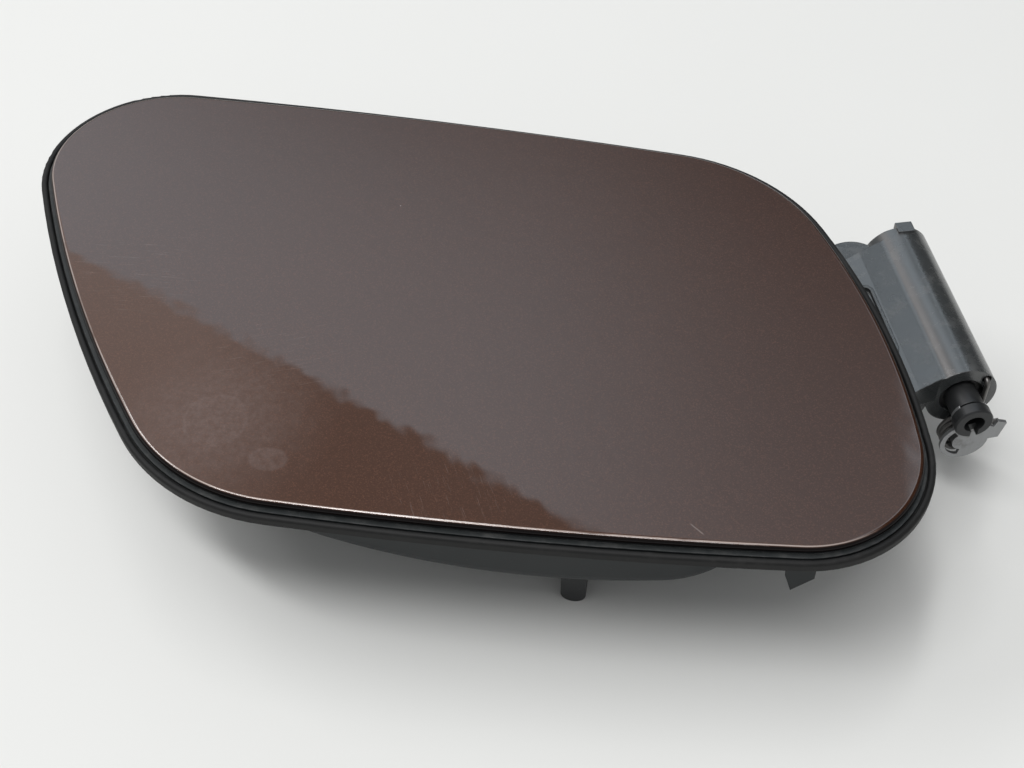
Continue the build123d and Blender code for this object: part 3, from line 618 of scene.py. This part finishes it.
@dataclass
class Outline:
    """The flap's outline: four bowed sides and round corners."""

    points: tuple[Plan, ...] = ((-162.91, -52.85), (-11.71, -46.05), (-49.69, 63.65), (-232.89, 70.45))
    bows: tuple[float, ...] = (3.1, 9.1, 3.1, 7.4)
    corner_radii: tuple[float, ...] = (42.6, 26.7, 42.6, 26.7)
    side_steps: int = 120
    corner_steps: int = 48

    def _sides(self) -> list[tuple[Vector, float]]:
        """Centre and radius of each side's arc."""
        sides = []
        for index, start in enumerate(self.points):
            begin, stop = Vector(start), Vector(self.points[(index + 1) % 4])
            run = stop - begin
            bow = self.bows[index]
            radius = (run.length_squared / 4 + bow * bow) / (2 * bow)
            inward = Vector((-run.y, run.x)).normalized() * (radius - bow)
            sides.append(((begin + stop) / 2 + inward, radius))
        return sides

    def _corner_centres(self, sides: list[tuple[Vector, float]]) -> list[Vector]:
        """Centre of each round corner."""
        found = []
        for index, corner in enumerate(self.points):
            (first, first_radius), (second, second_radius) = sides[index - 1], sides[index]
            one, two = first_radius - self.corner_radii[index], second_radius - self.corner_radii[index]
            gap = second - first
            along = (one * one - two * two + gap.length_squared) / (2 * gap.length)
            across = math.sqrt(one * one - along * along)
            unit = gap.normalized()
            spots = [first + unit * along + Vector((-unit.y, unit.x)) * side * across for side in (-1, 1)]
            found.append(min(spots, key=lambda spot: (spot - Vector(corner)).length))
        return found

    def ring(self, grow: float) -> list[Plan]:
        """The outline grown outwards, anticlockwise, always with the same number of points."""
        sides = self._sides()
        centres = self._corner_centres(sides)
        ring: list[Plan] = []
        for index in range(4):
            before, after = sides[index - 1][0], sides[index][0]
            centre, following = centres[index], centres[(index + 1) % 4]
            radius = self.corner_radii[index] + grow
            self._arc(ring, centre, radius, centre - before, centre - after, self.corner_steps)
            self._arc(ring, after, sides[index][1] + grow, centre - after, following - after, self.side_steps)
        return ring

    @staticmethod
    def _arc(
        ring: list[Plan], centre: Vector, radius: float, start: Vector, stop: Vector, steps: int
    ) -> None:
        """Adds an anticlockwise arc's points, without the last one."""
        begin = math.atan2(start.y, start.x)
        sweep = (math.atan2(stop.y, stop.x) - begin) % (2 * math.pi)
        for step in range(steps):
            turn = begin + sweep * step / steps
            ring.append((centre.x + radius * math.cos(turn), centre.y + radius * math.sin(turn)))


@dataclass
class PaintedCover:
    """The crowned painted skin, with its rolled edge and turned-down hem."""

    outline: Outline = field(default_factory=Outline)
    top: float = 15.0
    hem_bottom: float = 12.2
    wall: float = 0.7
    edge_radius: float = 1.0
    roll_margin: float = 0.15
    crown_centre: Plan = (-114.3, 8.8)
    crown_lengthwise: float = 7000.0
    crown_crosswise: float = 1600.0
    ripple: float = 0.020
    ripple_run: Plan = (2.5, 3.6)
    slow_ripple: float = 0.37
    hem_bevel: float = 0.25
    inner_rings: int = 12
    roll_steps: int = 8
    face_rings: int = 80
    finish: FlakePaint = field(default_factory=FlakePaint)

    def _crown(self, x: float, y: float) -> float:
        """Height of the crowned face over a plan point."""
        along, across = x - self.crown_centre[0], y - self.crown_centre[1]
        fall = along * along / (2 * self.crown_lengthwise) + across * across / (2 * self.crown_crosswise)
        return self.top - fall - self._ripple(x, y)

    def _ripple(self, x: float, y: float) -> float:
        """Depth of the lacquer's faint ripple under the crown, never below zero."""
        place = Vector((x / self.ripple_run[0], y / self.ripple_run[1], 0.0))
        wave = noise.noise(place) + 0.5 * noise.noise(self.slow_ripple * place)
        return self.ripple * (0.1 + max(0.0, 1.5 + wave) / 2)

    def _face(self, ring: list[Plan], drop: float, count: int) -> list[list[Point]]:
        """Rings that shrink from an outline to the middle of the face."""
        mid_x, mid_y = self.crown_centre
        rings = []
        for step in range(count):
            share = 1.0 - step / count
            shrunk = [(mid_x + (x - mid_x) * share, mid_y + (y - mid_y) * share) for x, y in ring]
            rings.append([(x, y, self._crown(x, y) - drop) for x, y in shrunk])
        return rings

    def build(self) -> bpy.types.Object:
        """Builds the skin as one closed shell.

        Returns:
            The piece.
        """
        under = self._face(self.outline.ring(-self.edge_radius), self.wall, self.inner_rings)
        rings: list[list[Point]] = list(reversed(under))
        inside = self.outline.ring(-self.wall)
        rings.append([(x, y, self._crown(x, y) - self.edge_radius) for x, y in inside])
        rings.append([(x, y, self.hem_bottom) for x, y in inside])
        rings.append([(x, y, self.hem_bottom) for x, y in self.outline.ring(-self.hem_bevel)])
        outside = self.outline.ring(0.0)
        rings.append([(x, y, self.hem_bottom + self.hem_bevel) for x, y in outside])
        for step in range(self.roll_steps + 1):
            turn = math.pi / 2 * step / self.roll_steps
            inset = self.edge_radius * (1 - math.cos(turn))
            sink = self.edge_radius * (1 - math.sin(turn))
            rings.append([(x, y, self._crown(x, y) - sink) for x, y in self.outline.ring(-inset)])
        face_edge = self.outline.ring(-self.edge_radius - self.roll_margin)
        rings.extend(self._face(face_edge, 0.0, self.face_rings))
        count = len(rings[0])
        points = [point for ring in rings for point in ring]
        faces: list[tuple[int, ...]] = ring_faces(len(rings), count)
        caps = (
            (0, self.top - self.wall, True),
            (len(rings) - 1, self._crown(*self.crown_centre), False),
        )
        for ring, height, flip in caps:
            points.append((*self.crown_centre, height))
            middle = len(points) - 1
            for step in range(count):
                pair = (ring * count + step, ring * count + (step + 1) % count)
                faces.append((middle, *reversed(pair)) if flip else (middle, *pair))
        piece = mesh_piece("painted_cover", points, faces)
        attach(piece, Body.FLAP.value)
        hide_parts("outer_skin")
        return piece

    def dress(self, piece: bpy.types.Object) -> None:
        """Paints the skin."""
        piece.data.materials.append(self.finish.material())


@dataclass
class ClosingSpring:
    """The torsion spring under the spindle: turns with an arm, and a leg into the barrel."""

    lean: float = 17.0
    centre: Plan = (0.6, -8.85)
    radius: float = 4.2
    wire: float = 1.2
    front: float = -4.0
    back: float = -7.52
    turns: float = 2.75
    arm: float = 7.4
    hole_height: float = 4.67
    hole_end: float = -12.47
    bend: float = 1.2
    turn_steps: int = 40
    arm_steps: int = 12
    leg_steps: int = 24
    bend_steps: int = 8
    finish: PlatedSteel = PlatedSteel(
        "spring_wire", (0.16, 0.155, 0.15), roughness=0.32, dull=(0.05, 0.045, 0.04)
    )

    def _place(self, out: float, up: float, station: float) -> Point:
        """Row-frame point of one given out from the axis, up, and along the axis."""
        turn = math.radians(self.lean)
        return (
            out * math.cos(turn) + station * math.sin(turn),
            out * math.sin(turn) - station * math.cos(turn),
            up,
        )

    def _coil(self) -> list[Point]:
        """Middle line of the turns and the arm."""
        line = []
        steps = int(self.turns * self.turn_steps)
        for step in range(steps + 1):
            share = step / steps
            turn = -2 * math.pi * self.turns * share
            line.append(
                self._place(
                    self.centre[0] + self.radius * math.cos(turn),
                    self.centre[1] + self.radius * math.sin(turn),
                    self.back + (self.front - self.back) * share,
                )
            )
        for step in range(1, self.arm_steps + 1):
            out = self.centre[0] + self.arm * step / self.arm_steps
            line.append(self._place(out, self.centre[1] + self.radius, self.front))
        return line

    def _leg(self) -> list[Point]:
        """Middle line of the leg from the turns up and into the barrel's hole."""
        out = self.centre[0] + self.radius
        rise = self.hole_height - self.bend - self.centre[1]
        line = [
            self._place(out, self.centre[1] + rise * step / self.leg_steps, self.back)
            for step in range(self.leg_steps + 1)
        ]
        for step in range(1, self.bend_steps + 1):
            turn = math.pi / 2 * step / self.bend_steps
            line.append(
                self._place(
                    out,
                    self.hole_height - self.bend * (1 - math.sin(turn)),
                    self.back - self.bend * (1 - math.cos(turn)),
                )
            )
        line.append(self._place(out, self.hole_height, self.hole_end))
        return line

    def build(self) -> list[bpy.types.Object]:
        """Builds both ends of the spring.

        Returns:
            The turns and the leg.
        """
        coil = wire_piece("spring_turns", self._coil(), self.wire / 2)
        leg = wire_piece("spring_leg", self._leg(), self.wire / 2)
        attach(coil, Body.HINGE_MOUNT.value)
        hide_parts("torsion_spring")
        out = self.centre[0] + self.radius
        low = Vector(self._place(out, self.centre[1], self.back)) * MM
        high = Vector(self._place(out, self.hole_height - self.bend, self.back)) * MM
        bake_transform(leg)
        return [coil, leg]

    def dress(self, pieces: list[bpy.types.Object]) -> None:
        """Gives the wire its steel."""
        steel = self.finish.material()
        for piece in pieces:
            piece.data.materials.append(steel)


Finish = MouldedPlastic | SoftRubber | PlatedSteel
BUFFER_RUBBER = SoftRubber("buffer_rubber_black", (0.02, 0.02, 0.02))
BUSH_PLASTIC = MouldedPlastic("bush_plastic_black", (0.018, 0.018, 0.018), 0.4)
SMALL_SCREW = PlatedSteel("screw_plated_small", (0.30, 0.30, 0.29))


@dataclass
class CadGroup:
    """CAD pieces that keep their own shape and take one finish each."""

    name: str
    finishes: dict[str, Finish]

    def dress(self) -> None:
        """Gives each piece its finish, one material for pieces that share it."""
        made: dict[str, bpy.types.Material] = {}
        for node, finish in self.finishes.items():
            if finish.name not in made:
                made[finish.name] = finish.material()
            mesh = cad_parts[node].data
            mesh.materials.clear()
            mesh.materials.append(made[finish.name])


@dataclass
class Closure(CadGroup):
    """The inner panel, its seal and the four buffers."""

    name: str = "closure"
    finishes: dict[str, Finish] = field(
        default_factory=lambda: {
            "inner_panel": MouldedPlastic("panel_plastic_grey", (0.018, 0.021, 0.022), 0.46, specular=0.3),
            "rim_seal": SoftRubber("seal_rubber_black", (0.008, 0.008, 0.008), 0.6, 0.06),
            "buffer_free_low": BUFFER_RUBBER,
            "buffer_hinge_low": BUFFER_RUBBER,
            "buffer_hinge_high": BUFFER_RUBBER,
            "buffer_free_high": BUFFER_RUBBER,
        }
    )


@dataclass
class Hinge(CadGroup):
    """The hinge arm, its bushes, the spindle, the clip and the spring's carrier."""

    name: str = "hinge"
    finishes: dict[str, Finish] = field(
        default_factory=lambda: {
            "hinge_arm": MouldedPlastic("hinge_plastic_satin", (0.034, 0.037, 0.038), 0.18, specular=1.0),
            "near_bush": BUSH_PLASTIC,
            "far_bush": BUSH_PLASTIC,
            "hinge_spindle": PlatedSteel(
                "spindle_black", (0.022, 0.023, 0.024), 0.4, 0.36, (0.014, 0.014, 0.014), 0.18
            ),
            "spindle_clip": PlatedSteel("clip_steel", (0.35, 0.35, 0.35)),
            "spring_carrier": PlatedSteel("carrier_plated", (0.30, 0.305, 0.31), 0.85, 0.36),
            "arm_screws": PlatedSteel("screw_plated", (0.30, 0.30, 0.29), 0.9, 0.34),
        }
    )


@dataclass
class Underside(CadGroup):
    """The cap cradle and the latch striker with their screws."""

    name: str = "underside"
    finishes: dict[str, Finish] = field(
        default_factory=lambda: {
            "cap_cradle": MouldedPlastic("cradle_plastic_black", (0.022, 0.023, 0.024), 0.4),
            "latch_striker": PlatedSteel("striker_plated", (0.34, 0.34, 0.33), 0.9, 0.3),
            "cradle_screws": SMALL_SCREW,
            "striker_screws": SMALL_SCREW,
        }
    )


# Studio


def pointed(place: Vector, heading: Vector) -> Matrix:
    """Matrix of a lamp or camera at a place, looking along a heading."""
    return Matrix.Translation(place) @ heading.to_track_quat("-Z", "Y").to_matrix().to_4x4()


@dataclass
class SoftBox:
    """One rectangular lamp."""

    name: str
    place: Point
    aim: Point
    size: Plan
    radiance: float

    def build(self) -> None:
        """Makes the lamp, with the power that gives its face the wanted brightness."""
        width, height = (side * MM for side in self.size)
        lamp = bpy.data.lights.new(self.name, "AREA")
        lamp.shape = "RECTANGLE"
        lamp.size, lamp.size_y = width, height
        lamp.energy = self.radiance * math.pi * width * height
        piece = bpy.data.objects.new(self.name, lamp)
        bpy.context.scene.collection.objects.link(piece)
        place = Vector(self.place) * MM
        piece.matrix_world = pointed(place, Vector(self.aim) * MM - place)


@dataclass(frozen=True)
class CardGlow:
    """Pale glow of the card: brightest along its near edge and at its ends, with a dim apron before it."""

    name: str = "card_glow"
    colour: Colour = (0.88, 1.0, 1.11)
    apron_colour: Colour = (1.08, 0.97, 0.94)
    far: float = 0.4
    near: float = 1.55
    right_fade: float = 0.42
    right_end: float = 2.4
    apron: float = 0.5
    apron_left: float = 0.85
    near_run: Plan = (760.0, -140.0)
    fade_run: Plan = (-230.0, 120.0)
    right_run: Plan = (140.0, 185.0)
    end_run: Plan = (232.0, 196.0)
    apron_run: Plan = (-300.0, -490.0)
    edge_run: Plan = (-14.0, 2.0)

    def material(self, edge: Plan, degrees: float) -> bpy.types.Material:
        """Builds the glow.

        Args:
            edge: A point on the card's near edge.
            degrees: Direction of that edge in plan.

        Returns:
            The material.
        """
        sheet = Sheet(self.name)
        place = sheet.place()
        along = sheet.split(place, "X")
        across = sheet.split(sheet.turned(place, edge, degrees), "Y")
        level = self.far + self.near * across.ramp(*self.near_run)
        faded = level * (1.0 - self.right_fade * along.ramp(*self.fade_run))
        ended = (faded + self.right_end * along.ramp(*self.right_run)) * along.ramp(*self.end_run)
        apron = self.apron + self.apron_left * along.ramp(*self.apron_run)
        inside = across.ramp(*self.edge_run)
        return sheet.surface(
            Base_Color=(0.0, 0.0, 0.0),
            Roughness=1.0,
            Emission_Color=ended * inside * self.colour + apron * (1.0 - inside) * self.apron_colour,
            Emission_Strength=1.0,
        )


@dataclass
class MirrorCard:
    """Pale card over the far side; its near edge is mirrored across the lacquer."""

    height: float = 717.0
    edge: Plan = (-657.0, 742.0)
    degrees: float = -32.0
    run: Plan = (-700.0, 1900.0)
    apron: float = 260.0
    depth: float = 1500.0
    cells: int = 12
    glow: CardGlow = field(default_factory=CardGlow)

    def _place(self, along: float, across: float) -> Point:
        """Point of the card at a share along its near edge and a share across it."""
        turn = math.radians(self.degrees)
        run = self.run[0] + (self.run[1] - self.run[0]) * along
        back = (self.apron + self.depth) * across - self.apron
        return (
            self.edge[0] + run * math.cos(turn) - back * math.sin(turn),
            self.edge[1] + run * math.sin(turn) + back * math.cos(turn),
            self.height,
        )

    def build(self) -> None:
        """Makes the card, seen only in reflections."""
        card = grid_piece("mirror_card", self.cells, self._place)
        card.data.materials.append(self.glow.material(self.edge, self.degrees))
        show_only_mirrored(card)


@dataclass
class DarkFlag:
    """Dark upright card at the far right, mirrored as the barrel's dark band."""

    middle: Plan = (560.0, 700.0)
    half_width: float = 380.0
    degrees: float = -41.0
    height: float = 640.0
    cells: int = 6
    colour: Colour = (0.02, 0.02, 0.02)

    def _place(self, along: float, across: float) -> Point:
        """Point of the flag at a share along its foot and a share of its height."""
        turn = math.radians(self.degrees)
        run = self.half_width * (2 * along - 1)
        return (
            self.middle[0] + run * math.cos(turn),
            self.middle[1] + run * math.sin(turn),
            self.height * across,
        )

    def build(self) -> None:
        """Makes the flag, seen only in reflections."""
        flag = grid_piece("dark_flag", self.cells, self._place)
        sheet = Sheet("flag_black")
        cloth = sheet.noise(sheet.place(), 8.0) * self.colour
        flag.data.materials.append(sheet.surface(Base_Color=cloth, Roughness=1.0))
        show_only_mirrored(flag)


FLAP_MIDDLE: Point = (-110.0, 0.0, 0.0)
TUBE_SIZE: Plan = (1700.0, 240.0)


@dataclass
class Studio:
    """Pale table, soft lamps, even surroundings and the camera."""

    floor_height: float = -28.5
    floor_half: float = 4000.0
    floor_cells: int = 8
    eye: Point = (-68.57, -224.38, 248.55)
    look: Point = (-0.09803, 0.66191, -0.74314)
    lens: float = 52.73
    sensor: float = 36.0
    clip: Plan = (0.01, 50.0)
    ambient: float = 0.40
    room_colour: Colour = (0.98, 0.99, 1.0)
    lamps: tuple[SoftBox, ...] = (
        SoftBox("front_tube", (-420.0, -560.0, 2000.0), FLAP_MIDDLE, TUBE_SIZE, 15.0),
        SoftBox("middle_tube", (-420.0, 60.0, 2000.0), FLAP_MIDDLE, TUBE_SIZE, 9.0),
        SoftBox("left_strip", (-1310.0, 330.0, 1450.0), FLAP_MIDDLE, (1150.0, 240.0), 9.5),
    )
    card: MirrorCard = field(default_factory=MirrorCard)
    flag: DarkFlag = field(default_factory=DarkFlag)

    def build(self) -> None:
        """Sets the table, lamps, surroundings and camera."""
        self._table()
        for lamp in self.lamps:
            lamp.build()
        self.card.build()
        self.flag.build()
        self._surroundings()
        self._camera()
        bpy.context.scene.view_settings.view_transform = "Standard"

    def _table(self) -> None:
        """A flat pale table."""
        table = grid_piece("table_top", self.floor_cells, self._table_place)
        table.data.materials.append(PaleFloor().material())

    def _table_place(self, along: float, across: float) -> Point:
        """Point of the table at a share of its length and of its width."""
        return (self.floor_half * (2 * along - 1), self.floor_half * (2 * across - 1), self.floor_height)

    def _surroundings(self) -> None:
        """Even pale light from all round."""
        world = bpy.data.worlds.new("pale_room")
        world.use_nodes = True
        background = world.node_tree.nodes["Background"]
        background.inputs["Color"].default_value = (*self.room_colour, 1.0)
        background.inputs["Strength"].default_value = self.ambient
        bpy.context.scene.world = world

    def _camera(self) -> None:
        """The photo's camera."""
        data = bpy.data.cameras.new("photo_camera")
        data.lens, data.sensor_width = self.lens, self.sensor
        data.clip_start, data.clip_end = self.clip
        camera = bpy.data.objects.new("photo_camera", data)
        bpy.context.scene.collection.objects.link(camera)
        camera.matrix_world = pointed(Vector(self.eye) * MM, Vector(self.look))
        bpy.context.scene.camera = camera


# Main


def main() -> None:
    """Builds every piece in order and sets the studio."""
    logging.basicConfig(level=logging.INFO, format="%(message)s")
    cover = PaintedCover()
    skin = cover.build()
    cover.dress(skin)
    LOG.info("piece %s", skin.name)
    spring = ClosingSpring()
    wires = spring.build()
    spring.dress(wires)
    for wire in wires:
        LOG.info("piece %s", wire.name)
    for group in (Closure(), Hinge(), Underside()):
        group.dress()
        for node in group.finishes:
            LOG.info("%s piece %s", group.name, node)
    Studio().build()
    LOG.info("studio set")


if __name__ == "__main__":
    main()
